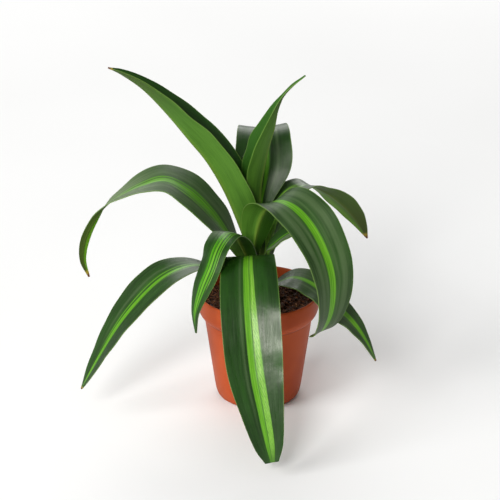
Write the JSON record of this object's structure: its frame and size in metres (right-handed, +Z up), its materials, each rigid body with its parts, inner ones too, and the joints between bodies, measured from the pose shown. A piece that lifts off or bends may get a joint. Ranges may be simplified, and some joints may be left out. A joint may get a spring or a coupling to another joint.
{
  "type": "potted dracaena",
  "caption": "Young striped dracaena with long arching leaves on a short cane, planted in soil in a round terracotta-coloured nursery pot.",
  "frame": {"origin": "centre of the pot's flat underside", "axes": "+Z up along the pot's axis, -Y towards the side with the broad hanging leaf, +X to the right when seen from that side"},
  "size_m": [0.2508, 0.2614, 0.2996],
  "materials": {
    "pot_plastic": "terracotta-coloured moulded plastic, fine satin surface",
    "potting_soil": "dark damp peat with bark crumbs and pale fibres",
    "cane": "green-brown ringed cane",
    "leaf": "satin-gloss dark green blade with a bright yellow-green stripe down the middle"
  },
  "bodies": {
    "root": {"pot": "pot_plastic", "soil": "potting_soil", "stem": "cane", "leaf_front_broad": "leaf", "leaf_front_right": "leaf", "leaf_upper_left": "leaf", "leaf_centre": "leaf", "leaf_back": "leaf", "leaf_left_arch": "leaf", "leaf_left_low": "leaf", "leaf_front_left": "leaf", "leaf_right_back": "leaf", "leaf_right": "leaf", "leaf_right_low": "leaf"}
  },
  "joints": []
}
